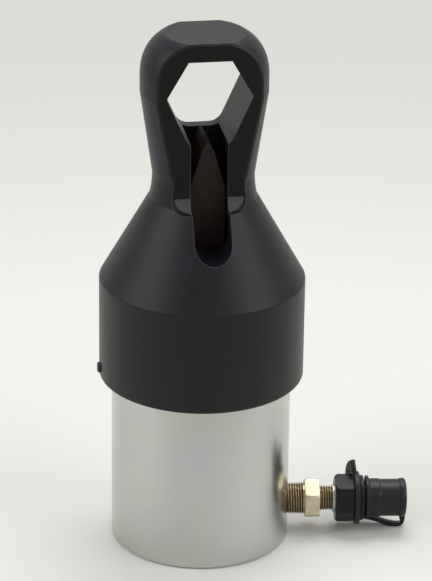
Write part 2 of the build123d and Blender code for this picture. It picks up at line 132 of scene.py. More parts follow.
# A value moved in a straight line from one range to another, and held at its ends
def ranged(tree, value, fromLow, fromHigh, low=0.0, high=1.0):
    made = addNode(tree, "ShaderNodeMapRange", {
        "Value": value, "From Min": fromLow, "From Max": fromHigh, "To Min": low, "To Max": high})
    return made.outputs["Result"]


# Bump of the given depth in millimetres, on top of a rounded edge's normal
def bumpFrom(tree, shader, height, depth, normal):
    made = addNode(tree, "ShaderNodeBump", {
        "Height": height, "Distance": depth * mm, "Strength": 1.0, "Normal": normal})
    tree.links.new(made.outputs["Normal"], shader.inputs["Normal"])


# Roughness from low where factor is 0 to high where it is 1
def roughnessFrom(tree, shader, factor, low, high):
    tree.links.new(ranged(tree, factor, 0.0, 1.0, low, high), shader.inputs["Roughness"])


# Colour first where factor is 0 and second where it is 1; each is a socket or a hex code. The
# node's inputs 6 and 7 and its output 2 are its colours.
def mixed(tree, factor, first, second):
    first, second = (sRgb(c) if isinstance(c, str) else c for c in (first, second))
    made = addNode(tree, "ShaderNodeMix", {0: factor, 6: first, 7: second}, data_type="RGBA")
    return made.outputs[2]


# One arithmetic step on two values
def maths(tree, kind, first, second=0.0, clamp=False):
    made = addNode(tree, "ShaderNodeMath", {0: first, 1: second}, operation=kind, use_clamp=clamp)
    return made.outputs[0]


# The normal averaged over radius millimetres, which rounds sharp edges off for the light
def roundedNormal(tree, radius):
    return addNode(tree, "ShaderNodeBevel", {"Radius": radius * mm}, samples=6).outputs["Normal"]


edgeCosines = (0.99, 0.86)  # between the rounded and the true normal, on open faces and at edges


# 0 on open faces and 1 along sharp edges, where the rounded normal leaves the true one
def edgeMask(tree, rounded):
    flat = addNode(tree, "ShaderNodeNewGeometry").outputs["Normal"]
    cosine = addNode(tree, "ShaderNodeVectorMath", {0: rounded, 1: flat}, operation="DOT_PRODUCT")
    return ranged(tree, cosine.outputs["Value"], *edgeCosines)


# The cylinder: steel tube, ground and satin nickel plated. Smooth and silvery, with broad soft
# reflections, a faint warm and cool drift in wide patches, and a few specks of dust.
cylinderFinish = {
    "warm": "#c5c6bf", "cool": "#c4c4c6", "roughness": (0.22, 0.28), "edgeRadius": 0.4,
    "driftSize": 34, "driftRange": (0.38, 0.62),
    "grainSize": 0.8,  # coarser than the real 0.1 mm marks, which would not show
    "grainDepth": 0.0012,
    "dust": "#8f8f88", "dustSize": 5.5, "dustRange": (0.745, 0.795), "dustShare": 0.4,
}


def satinPlatedSteel():
    s = cylinderFinish
    made, tree, shader = newMaterial("satin plated steel", 1.0)
    drift = ranged(tree, grain(tree, s["driftSize"], 1.0), *s["driftRange"])
    plating = mixed(tree, drift, s["warm"], s["cool"])
    speck = ranged(tree, grain(tree, s["dustSize"], 3.0), *s["dustRange"], 0.0, s["dustShare"])
    tree.links.new(mixed(tree, speck, plating, s["dust"]), shader.inputs["Base Color"])
    fine = grain(tree, s["grainSize"], 2.0)
    roughnessFrom(tree, shader, fine, *s["roughness"])
    bumpFrom(tree, shader, fine, s["grainDepth"], roundedNormal(tree, s["edgeRadius"]))
    return made


# The head: forged steel, turned, milled and hot blackened. Nearly black, a violet bloom and faint
# turning rings on the cone, blacker milled faces with a painted highlight of light grey on the up-facing step at
# their foot, and edges painted a lighter grey, partly rubbed wear and partly a painted highlight. Heights and the
# step's radius are in millimetres from the base and the axis.
headFinish = {
    "skirt": "#1e1e1e", "slope": "#121116", "slopeLight": "#1b1a22", "milled": "#040404",
    "step": "#4a4a48", "edge": "#7c7c7a", "specular": 0.23, "roughness": (0.36, 0.44),
    "skirtTop": 157, "fade": 1.5, "ledge": 203.6, "stepTop": 210.7, "stepRadius": 27.5,
    "milledFacing": 0.996, "stepFacing": 0.2,  # least part of the normal to front or back, and up
    "ringPitch": 1.1,  # the tool marks, coarser than the real 0.3 mm feed so that they show
    "ringDepth": 0.003, "patinaSize": 20, "patinaRange": (0.35, 0.65),
    "grainSize": 0.7, "grainDepth": 0.004, "edgeRadius": 0.45, "wearAndHighlight": (0.45, 0.95),
}


def blackenedSteel():
    s = headFinish
    made, tree, shader = newMaterial("blackened steel", 0.0, s["specular"])
    coords = addNode(tree, "ShaderNodeTexCoord").outputs
    height = addNode(tree, "ShaderNodeSeparateXYZ", {"Vector": coords["Object"]}).outputs["Z"]
    normal = addNode(tree, "ShaderNodeSeparateXYZ", {"Vector": coords["Normal"]}).outputs
    level = addNode(tree, "ShaderNodeVectorMath", {
        0: coords["Object"], 1: (1, 1, 0)}, operation="MULTIPLY").outputs["Vector"]
    fromAxis = addNode(tree, "ShaderNodeVectorMath", {0: level}, operation="LENGTH").outputs["Value"]
    patina = grain(tree, s["patinaSize"], 5.0)
    fine = grain(tree, s["grainSize"], 3.0)
    slope = mixed(tree, ranged(tree, patina, *s["patinaRange"]), s["slope"], s["slopeLight"])
    onSlope = ranged(tree, height, (s["skirtTop"] - s["fade"]) * mm, (s["skirtTop"] + s["fade"]) * mm)
    turned = mixed(tree, onSlope, s["skirt"], slope)
    front = maths(tree, "ABSOLUTE", normal["Y"])
    isAbove = maths(tree, "GREATER_THAN", height, s["ledge"] * mm)
    isMilled = maths(tree, "MULTIPLY", maths(tree, "GREATER_THAN", front, s["milledFacing"]), isAbove)
    body = mixed(tree, isMilled, turned, s["milled"])
    # the cutter's round corner at the foot of each milled face, inside the neck's surface, where it faces up:
    # painted light grey, a painted highlight
    paintedLightOnStep = maths(tree, "GREATER_THAN", maths(tree, "ADD", front, normal["Z"]), s["stepFacing"])
    for value, limit in ((height, s["stepTop"]), (fromAxis, s["stepRadius"])):
        paintedLightOnStep = maths(tree, "MULTIPLY", paintedLightOnStep, maths(tree, "LESS_THAN", value, limit * mm))
    # painted highlight: the up-facing step painted light grey
    body = mixed(tree, maths(tree, "MULTIPLY", paintedLightOnStep, isAbove), body, s["step"])
    rounded = roundedNormal(tree, s["edgeRadius"])
    # the edges painted a lighter grey: partly rubbed wear, partly a painted highlight
    patchy = ranged(tree, fine, 0.3, 0.7, *s["wearAndHighlight"])
    wearAndHighlight = maths(tree, "MULTIPLY", edgeMask(tree, rounded), patchy)
    tree.links.new(mixed(tree, wearAndHighlight, body, s["edge"]), shader.inputs["Base Color"])
    roughnessFrom(tree, shader, patina, *s["roughness"])
    # the bump is the fine grain plus, on the cone, a sine of the height with the rings' pitch
    turns = maths(tree, "SINE", maths(tree, "MULTIPLY", height, 2 * math.pi / (s["ringPitch"] * mm)))
    onCone = maths(tree, "MULTIPLY", onSlope, maths(tree, "SUBTRACT", 1.0, isAbove))
    ringHeight = 0.5 * s["ringDepth"] / s["grainDepth"]
    rings = maths(tree, "MULTIPLY", maths(tree, "MULTIPLY", turns, onCone), ringHeight)
    bumpFrom(tree, shader, maths(tree, "ADD", rings, fine), s["grainDepth"], rounded)
    return made


# Zinc with yellow chromate: straw on the hexagon, and on the thread a film that drifts to pink,
# olive and brown, with painted shade darkening the roots. The mesh's attribute of groove depth is 0 on the
# hexagon, and on the thread it rises from the crest value at the crests to 1 at the roots.
crestGrooveShade = 0.2
chromateFinish = {
    "straw": "#bbb293", "strawLight": "#cac2a6", "pink": "#c09a89", "olive": "#b3b07c",
    "brown": "#a08a66", "root": "#332d20", "rootFrom": 0.45, "rootShare": 0.8, "tintSize": 3.4,
    "grainSize": 0.6, "grainDepth": 0.002, "roughness": (0.26, 0.36), "edgeRadius": 0.15,
}


def yellowZinc():
    s = chromateFinish
    made, tree, shader = newMaterial("yellow chromated zinc", 1.0)
    grooveShade = addNode(tree, "ShaderNodeAttribute", attribute_name="grooveShade").outputs["Fac"]
    tint = grain(tree, s["tintSize"], 2.0)
    hexagon = ramp(tree, tint, [(0.35, s["straw"]), (0.65, s["strawLight"])])
    film = ramp(tree, tint, [
        (0.34, s["brown"]), (0.46, s["straw"]), (0.54, s["pink"]), (0.64, s["olive"])])
    body = mixed(tree, ranged(tree, grooveShade, 0.0, crestGrooveShade), hexagon, film)
    # painted shade: the thread's roots darkened towards the root colour
    rootShade = ranged(tree, grooveShade, s["rootFrom"], 1.0, 0.0, s["rootShare"])
    tree.links.new(mixed(tree, rootShade, body, s["root"]), shader.inputs["Base Color"])
    fine = grain(tree, s["grainSize"], 2.0)
    roughnessFrom(tree, shader, fine, *s["roughness"])
    bumpFrom(tree, shader, fine, s["grainDepth"], roundedNormal(tree, s["edgeRadius"]))
    return made


# Plain finishes by slot. Each is grain of size millimetres between a dark and a light tone, with a
# bump of that depth, and edges painted towards a third tone or else the light one: partly rubbed wear, partly a
# painted highlight.
grainedFinishes = {
    # the half coupling, turned bar, zinc nickel plated and black passivated: charcoal with a faint
    # olive cast, and a painted highlight of lighter grey along its corners
    "black_coupling_steel": {
        "name": "black passivated steel", "dark": "#0c0c0b", "light": "#151513", "metallic": 0.0,
        "specular": 0.22, "roughness": (0.3, 0.42), "size": 1.6, "depth": 0.006,
        "edge": "#66665e", "edgeRadius": 0.32, "wearAndHighlight": 0.7},
    # screws, hot blackened and oiled: dull black
    "black_oxide_screw": {
        "name": "black oxide screw steel", "dark": "#0c0c0c", "light": "#1e1e1e", "metallic": 0.0,
        "roughness": (0.35, 0.5), "size": 0.5},
    # rod guide, turned bronze: warm and dull
    "bearing_bronze": {
        "name": "bearing bronze", "dark": "#a77b45", "light": "#c79a5c", "metallic": 1.0,
        "roughness": (0.3, 0.42), "size": 0.8},
    # backup ring and guide band, turned PTFE: milky and waxy
    "backup_plastic": {
        "name": "backup ring plastic", "dark": "#cfc8b6", "light": "#dcd6c6", "metallic": 0.0,
        "roughness": (0.4, 0.5), "size": 1.0},
    # ram, poppet and cage, ground: bright, with fine marks
    "ground_steel": {
        "name": "ground steel", "dark": "#9a9a98", "light": "#bcbcba", "metallic": 1.0,
        "roughness": (0.14, 0.24), "size": 0.4, "depth": 0.003},
    # springs, drawn and oiled wire: dark with a sheen
    "spring_steel": {
        "name": "spring steel", "dark": "#3b3a38", "light": "#5a5956", "metallic": 0.7,
        "roughness": (0.35, 0.5), "size": 0.5},
    # blade, quenched and tempered: a dull brown film in wide patches
    "tempered_tool_steel": {
        "name": "tempered tool steel", "dark": "#1a1110", "light": "#291d19", "metallic": 0.0,
        "specular": 0.2, "roughness": (0.45, 0.58), "size": 5.0, "depth": 0.005},
    # washer, soft aluminium as stamped: light and matt
    "washer_metal": {
        "name": "washer metal", "dark": "#b5b7b6", "light": "#d6d8d6", "metallic": 0.6,
        "roughness": (0.3, 0.45), "size": 0.5},
}


def grained(name, dark, light, metallic, roughness, size, depth=0.01, specular=0.5, edge=None,
            edgeRadius=0.25, wearAndHighlight=0.5):
    made, tree, shader = newMaterial(name, metallic, specular)
    fine = grain(tree, size, 4.0)
    rounded = roundedNormal(tree, edgeRadius)
    body = ramp(tree, fine, [(0.3, dark), (0.7, light)])
    # edges painted lighter: rubbed wear and a painted highlight
    wornAndHighlit = maths(tree, "MULTIPLY", edgeMask(tree, rounded), wearAndHighlight)
    tree.links.new(mixed(tree, wornAndHighlit, body, edge or light), shader.inputs["Base Color"])
    roughnessFrom(tree, shader, fine, *roughness)
    bumpFrom(tree, shader, fine, depth, rounded)
    return made


# Nitrile rubber from a steel mould: an even matt skin with a dusty bloom in wide patches. The cap's
# rubber is glossier and a little blue.
rubberFinishes = {
    "seal_rubber": {"name": "seal rubber", "dark": "#151515", "light": "#202020",
                    "specular": 0.4, "roughness": (0.5, 0.62)},
    "cap_rubber": {"name": "cap rubber", "dark": "#0a0c10", "light": "#11141a",
                   "specular": 0.32, "roughness": (0.34, 0.44)},
}
rubberSkin = {
    "bloomSize": 7, "bloomRange": (0.3, 0.7), "grainSize": 0.6, "grainDepth": 0.008, "edgeRadius": 0.3,
}


def mouldedRubber(name, dark, light, specular, roughness):
    s = rubberSkin
    made, tree, shader = newMaterial(name, 0.0, specular)
    bloom = ranged(tree, grain(tree, s["bloomSize"], 4.0), *s["bloomRange"])
    tree.links.new(mixed(tree, bloom, dark, light), shader.inputs["Base Color"])
    roughnessFrom(tree, shader, bloom, *roughness)
    skin = grain(tree, s["grainSize"], 2.0)
    bumpFrom(tree, shader, skin, s["grainDepth"], roundedNormal(tree, s["edgeRadius"]))
    return made


materials = {
    "satin_plated_steel": satinPlatedSteel(),
    "blackened_steel": blackenedSteel(),
    "zinc_plated_steel": yellowZinc(),
    **{slot: grained(**finish) for slot, finish in grainedFinishes.items()},
    **{slot: mouldedRubber(**finish) for slot, finish in rubberFinishes.items()},
}
print("materials made:", len(materials))


# Gives every CAD node the material of its slot
def dressNodes():
    slotOfNode = {entry["node"]: entry["material_slot"] for entry in frame["record"]["subparts"]}
    for name, obj in frame["nodes"].items():
        obj.data.materials.clear()
        obj.data.materials.append(materials[slotOfNode[name]])


dressNodes()


# Object from an (n, m, 3) grid of points in metres: each four neighbours make a face, and a wrapped
# direction also joins its last line to its first. Rows that shrink to a point close there. Faces
# that meet at more than sharp degrees keep a hard edge. A grid of groove-depth values, which paint shade into the
# thread's roots, if given, becomes the mesh's attribute of that name.
def outwardMesh(name, points, wrapRows, wrapColumns, slotName, sharp=32, grooveShade=None):
    rows, columns = points.shape[:2]
    index = np.arange(rows * columns).reshape(rows, columns)
    if wrapRows:
        index = np.vstack([index, index[:1]])
    if wrapColumns:
        index = np.hstack([index, index[:, :1]])
    quads = np.stack([index[:-1, :-1], index[1:, :-1], index[1:, 1:], index[:-1, 1:]], -1)
    mesh = bpy.data.meshes.new(name)
    mesh.from_pydata(points.reshape(-1, 3).tolist(), [], quads.reshape(-1, 4).tolist())
    if grooveShade is not None:
        layer = mesh.attributes.new("grooveShade", "FLOAT", "POINT")
        layer.data.foreach_set("value", grooveShade.astype(np.float32).ravel())
    work = bmesh.new()
    work.from_mesh(mesh)
    bmesh.ops.remove_doubles(work, verts=work.verts, dist=1e-6)
    bmesh.ops.recalc_face_normals(work, faces=work.faces)
    work.to_mesh(mesh)
    work.free()
    mesh.shade_smooth()
    mesh.set_sharp_from_angle(angle=math.radians(sharp))
    made = bpy.data.objects.new(name, mesh)
    bpy.context.scene.collection.objects.link(made)
    made.data.materials.append(materials[slotName])
    return made


# Points given in millimetres by reach along the port, offset to the front and height over its axis
def sidePoints(reach, side, rise):
    reach, side, rise = (part[..., None] for part in np.broadcast_arrays(reach, side, rise))
    return portFoot + mm * (reach * portWay + side * portSide + rise * portRise)


# Points at a reach along the port's axis and a radius round it; angle 0 is straight up
def portPoints(reach, radius, angle):
    return sidePoints(reach, radius * np.sin(angle), radius * np.cos(angle))


# Radius of a hexagon of that width across flats with slightly rounded corners: half the width
# over the softness-norm of the cosines to its three pairs of flats
def hexRadius(angle, width, turn=0.0, softness=90):
    turns = np.radians(turn + np.array([30.0, 90.0, 150.0]))
    cosines = np.abs(np.cos(angle[..., None] - turns))
    return width / 2 / (cosines ** softness).sum(-1) ** (1 / softness)


# Closed outline from corners (x, y, rounding): each corner is drawn as a quadratic curve that
# starts and ends one rounding from it, or just under half the side where that is shorter
def roundedOutline(corners, steps=5):
    corners = np.array(corners, float)
    corners, rounding = corners[:, :2], corners[:, 2]
    before, after = np.roll(corners, 1, 0) - corners, np.roll(corners, -1, 0) - corners
    reachBefore, reachAfter = (np.linalg.norm(v, axis=1) for v in (before, after))
    cut = np.minimum(rounding, 0.48 * np.minimum(reachBefore, reachAfter))[:, None]
    start = corners + before / reachBefore[:, None] * cut
    end = corners + after / reachAfter[:, None] * cut
    t = np.linspace(0, 1, steps)[:, None, None]
    curve = (1 - t) ** 2 * start + 2 * t * (1 - t) * corners + t ** 2 * end
    return curve.transpose(1, 0, 2).reshape(-1, 2)


# Angles round the port's axis, as one row
def roundAngles(count):
    return np.linspace(0, 2 * np.pi, count, endpoint=False)[None, :]


# The nipple between cylinder and coupling; lengths are counted from its hexagon. Beside the hexagon
# the threads run out in necks, cut to neckShare of the thread's depth.
nippleSize = {
    "hexStart": 59.7, "hexLength": 8.1, "hexWidth": 21, "hexEdge": 0.6, "hole": 3,
    "bigRadius": 9.2, "bigLength": 12.2, "smallRadius": 7.3, "smallLength": 9,
    "pitch": 1.411, "depth": 0.95, "crest": 0.18, "shoulder": 1.1, "groove": 0.5, "neckShare": 0.6,
    "taper": 1 / 32, "around": 192, "perTurn": 12,
}


# Depth of the thread's groove, from 0 at the crest to 1 at the root: a triangle wave that
# advances one pitch a turn, with short flats at crest and root
def threadGroove(reach, angle, s):
    phase = (reach / s["pitch"] - angle / (2 * np.pi)) % 1
    return np.clip((np.abs(phase - 0.5) * 2 - s["crest"]) / (1 - 2 * s["crest"]), 0, 1)


# A radius for each reach and angle, from the hole at one end to the hole at the other: crests that
# taper away from the hexagon less the thread's groove, and between them the hexagon, held inside a
# cone at both its faces
def makeNipple():
    s = nippleSize
    innerEnd, outerEnd = reachOf("nipple")
    hexStart, hexEnd = s["hexStart"], s["hexStart"] + s["hexLength"]
    angle = roundAngles(s["around"])
    # each row's third value is the groove depth that paints shade into the thread's roots
    rows = []  # reach, radius and grime of each row

    def plainRow(reach, radius, grooveShade=0.0):
        rows.append((reach + 0 * angle, radius + 0 * angle, grooveShade + 0 * angle))

    def threadRows(start, end, crestAt):
        reach = np.linspace(start, end, int((end - start) / s["pitch"] * s["perTurn"]))[:, None]
        groove = threadGroove(reach, angle, s)
        grooveShade = crestGrooveShade + (1 - crestGrooveShade) * groove
        rows.append((reach + 0 * angle, crestAt(reach) - s["depth"] * groove, grooveShade))

    def neckRow(reach, crest):
        plainRow(reach, crest - s["neckShare"] * s["depth"], s["neckShare"])

    def bigCrest(reach):
        return s["bigRadius"] - (hexStart - reach) * s["taper"]

    def smallCrest(reach):
        return s["smallRadius"] - (reach - hexEnd) * s["taper"]

    threadFrom = hexStart - s["bigLength"]
    plainRow(innerEnd, s["hole"])
    plainRow(innerEnd, bigCrest(innerEnd) - s["depth"], 1.0)
    plainRow(threadFrom, bigCrest(threadFrom) - s["depth"], 1.0)
    threadRows(threadFrom, hexStart - s["shoulder"], bigCrest)
    neckRow(hexStart - s["shoulder"], s["bigRadius"])
    neckRow(hexStart, s["bigRadius"])
    hexagon = hexRadius(angle, s["hexWidth"])
    corner = s["hexWidth"] / math.sqrt(3)
    for inwards in (0, s["hexEdge"] / 2, s["hexEdge"], s["hexLength"] - s["hexEdge"],
                    s["hexLength"] - s["hexEdge"] / 2, s["hexLength"]):
        fromFace = min(inwards, s["hexLength"] - inwards)
        cone = corner - s["hexEdge"] + min(fromFace, s["hexEdge"])
        rows.append((hexStart + inwards + 0 * angle, np.minimum(hexagon, cone), 0 * angle))
    neckRow(hexEnd, s["smallRadius"])
    neckRow(hexEnd + s["groove"], s["smallRadius"])
    threadRows(hexEnd + s["groove"], hexEnd + s["smallLength"], smallCrest)
    plainRow(outerEnd, smallCrest(outerEnd) - s["depth"], 1.0)
    plainRow(outerEnd, s["hole"])
    reach, radius, grooveShade = (np.vstack(column) for column in zip(*rows))
    made = outwardMesh("threadedNipple", portPoints(reach, radius, angle), True, True,
                       "zinc_plated_steel", grooveShade=grooveShade)
    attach(made, "cylinder")
    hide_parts("nipple")


makeNipple()

# The half coupling: hexagon, ring groove, collar and nose; its ends come from the frame
couplingSize = {
    "hexLength": 10.5, "hexWidth": 24, "hexTurn": 42.8, "frontEdge": 1.6, "rearEdge": 0.5,
    "grooveRadius": 10.5, "grooveSoft": 0.2, "collarStart": 14.1, "collarEnd": 16.1,
    "collarRadius": 12.9, "collarSoft": 0.4, "noseRadius": 9.1, "noseSoft": 1.0, "mouth": 3.2,
    "mouthSoft": 0.5, "mouthLength": 4, "chamber": 5.6, "threadLength": 9.1, "threadMouth": 6.8,
    "threadEnd": 6.5, "around": 216,
}


# The hexagon, held inside a cone at both its faces, then one outline turned round the port's axis:
# groove, collar, nose, mouth, valve chamber and the thread's hole
def makeCoupling():
    s = couplingSize
    start, noseEnd = reachOf("coupling_body")
    hexEnd = start + s["hexLength"]
    collarStart, collarEnd = start + s["collarStart"], start + s["collarEnd"]
    mouthEnd, threadStart = noseEnd - s["mouthLength"], start + s["threadLength"]
    angle = roundAngles(s["around"])
    hexagon = hexRadius(angle, s["hexWidth"], s["hexTurn"])
    corner = s["hexWidth"] / math.sqrt(3)
    hexReach = np.array([start, start + 0.5 * s["frontEdge"], start + s["frontEdge"],
                         hexEnd - s["rearEdge"], hexEnd])[:, None]
    cone = np.array([corner - s["frontEdge"], corner - 0.5 * s["frontEdge"], corner, corner,
                     corner - s["rearEdge"]])[:, None]
    outline = roundedOutline([
        (hexEnd, s["grooveRadius"], 0), (collarStart, s["grooveRadius"], s["grooveSoft"]),
        (collarStart, s["collarRadius"], s["collarSoft"]),
        (collarEnd, s["collarRadius"], s["collarSoft"]),
        (collarEnd, s["noseRadius"], s["grooveSoft"]), (noseEnd, s["noseRadius"], s["noseSoft"]),
        (noseEnd, s["mouth"], s["mouthSoft"]), (mouthEnd, s["mouth"], 0),
        (mouthEnd, s["chamber"], 0), (threadStart, s["chamber"], 0),
        (threadStart, s["threadEnd"], 0), (start, s["threadMouth"], 0),
    ])
    reach = np.vstack([hexReach + 0 * angle, outline[:, :1] + 0 * angle])
    radius = np.vstack([np.minimum(hexagon, cone), outline[:, 1:] + 0 * angle])
    made = outwardMesh("couplingShell", portPoints(reach, radius, angle), True, True,
                       "black_coupling_steel")
    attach(made, "cylinder")
    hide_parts("coupling_body")


makeCoupling()

# Rubber and wire are shaded smooth over their rounded corners, up to this angle in degrees
smoothTo = 50

# The dust cap: rolled rim, a raised band, a plain body and a thick end that is slightly domed
capSize = {
    "rimLength": 2, "rimRadius": 12.6, "rimSoft": 0.7, "bandLength": 8, "bandRadius": 11,
    "bodyRadius": 10.6, "narrowStep": 0.3, "wideStep": 0.4, "footSoft": 0.3, "topSoft": 0.4,
    "endThickness": 4.4, "endRadius": 11.1, "endRound": 4.6, "dome": 0.9, "domeRadius": 6,
    "domeSoft": 2.4, "inner": 9.4, "roof": 4.7, "roofSoft": 0.8, "around": 144,
}


# One outline turned round the port's axis, from the mouth over the outside to the end's middle and
# back inside; a step's foot and top have their own roundings
def makeCap():
    s = capSize
    mouth, end = reachOf("dust_cap")
    rimEnd, bandEnd = mouth + s["rimLength"], mouth + s["bandLength"]
    endStart, roof = end - s["endThickness"], end - s["roof"]
    outline = roundedOutline([
        (mouth, s["inner"], s["topSoft"]), (mouth, s["rimRadius"], s["rimSoft"]),
        (rimEnd, s["rimRadius"], s["rimSoft"]),
        (rimEnd + s["narrowStep"], s["bandRadius"], s["footSoft"]),
        (bandEnd, s["bandRadius"], s["topSoft"]),
        (bandEnd + s["wideStep"], s["bodyRadius"], s["footSoft"]),
        (endStart, s["bodyRadius"], s["footSoft"]),
        (endStart + s["narrowStep"], s["endRadius"], s["topSoft"]),
        (end - s["dome"], s["endRadius"], s["endRound"]), (end, s["domeRadius"], s["domeSoft"]),
        (end, 0, 0), (roof, 0, 0), (roof, s["inner"], s["roofSoft"]),
    ], 7)
    made = outwardMesh("rubberCap", portPoints(outline[:, :1], outline[:, 1:], roundAngles(s["around"])),
                       True, True, "cap_rubber", smoothTo)
    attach(made, "dust_cap")
    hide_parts("dust_cap")


makeCap()

# The cap's ring with its finger tab, one flat moulding whose tab is twisted out of its plane
ringSize = {
    "thickness": 3, "inner": 10.8, "outer": 15.2, "rounding": 0.7, "around": 144,
    "fromCollar": 0.3, "tabThickness": 2.7, "tabRim": 0.5, "tabTurn": 24,
    "twistFrom": 13.9, "twistTo": 15.2,
    # the tab's corners by offset to the front, height over the port's axis and rounding
    "tabCorners": [(-1.4, 12.6, 0.3), (-2.1, 15.0, 1.5), (-4.8, 22.2, 0.8), (-8.7, 19.7, 4),
                   (-11.2, 15.0, 4), (-11.5, 9.6, 0.8), (-9.9, 8.3, 0.3)],
    "tabFace": [0.0, 0.3, 0.6, 0.85],  # shares of its outline at which its faces have a row
}


# Where the ring lies along the port: just inside the coupling's collar
def ringReach():
    s = ringSize
    end = reachOf("coupling_body")[0] + couplingSize["collarStart"] - s["fromCollar"]
    return end - s["thickness"], end


# A rounded rectangle turned round the port's axis
def makeRing():
    s = ringSize
    start, end = ringReach()
    outline = roundedOutline([(reach, s[edge], s["rounding"]) for reach, edge in (
        (start, "inner"), (start, "outer"), (end, "outer"), (end, "inner"))], 6)
    made = outwardMesh("capRing", portPoints(outline[:, :1], outline[:, 1:], roundAngles(s["around"])),
                       True, True, "cap_rubber", smoothTo)
    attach(made, "cap_ring")
    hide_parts("cap_ring")


# The tab is a flat fin with one straight side and one round one. Its outline shrinks towards both
# faces, which rounds its rim, and each point is turned about the upright through the ring's middle
# by the tab's twist, which grows from nothing to full just outside the ring.
def makeTab():
    s = ringSize
    thick = s["tabThickness"] / 2
    outline = roundedOutline(s["tabCorners"], 7)
    middle = outline.mean(0)
    size = np.linalg.norm(outline - middle, axis=1).mean()
    roll = np.linspace(0, np.pi, 9)[:, None]
    inner = np.array(s["tabFace"])[:, None]
    scale = np.vstack([inner, 1 - s["tabRim"] * (1 - np.sin(roll)) / size, inner[::-1]])
    through = thick * np.vstack([0 * inner + 1, np.cos(roll), 0 * inner - 1])
    side, rise = (middle[k] + (outline[:, k] - middle[k]) * scale for k in (0, 1))
    fromAxis = np.hypot(side, rise)
    grown = np.clip((fromAxis - s["twistFrom"]) / (s["twistTo"] - s["twistFrom"]), 0, 1)
    twist = np.radians(s["tabTurn"]) * grown
    centre = sum(ringReach()) / 2
    reach = centre + side * np.sin(twist) + through * np.cos(twist)
    across = side * np.cos(twist) - through * np.sin(twist)
    made = outwardMesh("capRingTab", sidePoints(reach, across, rise), False, True,
                       "cap_rubber", smoothTo)
    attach(made, "cap_ring")


makeRing()
makeTab()

# The strap from the cap's end to the ring, one flat moulded band that is thicker at the cap
strapSize = {
    "width": 4.4, "rootThickness": 4.6, "thickness": 2.0, "rounding": 0.6, "steps": 90,
    "rootPart": 0.25,  # of its length, over which the root gets thin
    "fromRing": 0.5, "fromEnd": 3,  # distances in millimetres from the ring and from the cap's end
    # distance back from the cap's end, offset to the front and height of the band's middle line
    "route": [(2.3, 0.4, -8.4), (2.1, 0.4, -11.0), (1.7, 0.4, -13.8), (1.8, 0.3, -16.3),
              (4.6, -0.3, -17.2), (8.5, -1.2, -17.2), (12.5, -2.3, -16.4), (17.0, -3.4, -15.2),
              (21.5, -4.5, -14.5), (25.0, -5.1, -14.4), (27.4, -5.5, -14.3), (28.6, -5.6, -14.2)],
}


# Uniform cubic B-spline through the middle of its points, with both ends held by points mirrored
# past them
def splineLine(points, steps):
    points = np.array(points, float)
    points = np.vstack([2 * points[0] - points[1], points, 2 * points[-1] - points[-2]])
    t = np.linspace(0, len(points) - 3 - 1e-9, steps)
    first = t.astype(int)
    t = (t - first)[:, None]
    a, b, c, d = (points[first + k] for k in range(4))
    return ((1 - t) ** 3 * a + (3 * t ** 3 - 6 * t ** 2 + 4) * b
            + (-3 * t ** 3 + 3 * t ** 2 + 3 * t + 1) * c + t ** 3 * d) / 6


# A rounded rectangle carried along the spline and closed to a point at both ends. Its broad side
# lies level, square to the strap's run.
def makeStrap():
    s = strapSize
    line = splineLine(s["route"], s["steps"])
    line[:, 0] = reachOf("dust_cap")[1] - line[:, 0]
    tangent = np.gradient(line, axis=0)
    tangent /= np.linalg.norm(tangent, axis=1)[:, None]
    run = line[-1] - line[0]
    broad = np.cross([run[0], run[1], 0.0], [0, 0, 1.0]) * np.ones_like(line)
    broad -= (broad * tangent).sum(1)[:, None] * tangent
    broad /= np.linalg.norm(broad, axis=1)[:, None]
    thin = np.cross(tangent, broad)
    share = np.clip(np.linspace(0, 1 / s["rootPart"], s["steps"]), 0, 1)[:, None]
    thickness = s["rootThickness"] + (s["thickness"] - s["rootThickness"]) * share
    corners = ((1, 1), (-1, 1), (-1, -1), (1, -1))
    section = roundedOutline([(x, y, s["rounding"]) for x, y in corners]) / 2
    fullness = np.ones((s["steps"], 1))
    fullness[[0, -1]] = 0
    wide, deep = fullness * section[:, 0] * s["width"], fullness * section[:, 1] * thickness
    local = line[:, None] + wide[..., None] * broad[:, None] + deep[..., None] * thin[:, None]
    made = outwardMesh("capStrap", sidePoints(*np.moveaxis(local, -1, 0)), False, True,
                       "cap_rubber", smoothTo)
    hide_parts("cap_strap")
    ringEnd, capEnd = ringReach()[1], reachOf("dust_cap")[1]
    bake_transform(made)


makeStrap()

# The ram's return spring inside the cylinder, between the piston and the rod guide
springSize = {"wire": 6, "turns": 7, "perTurn": 40, "around": 16}


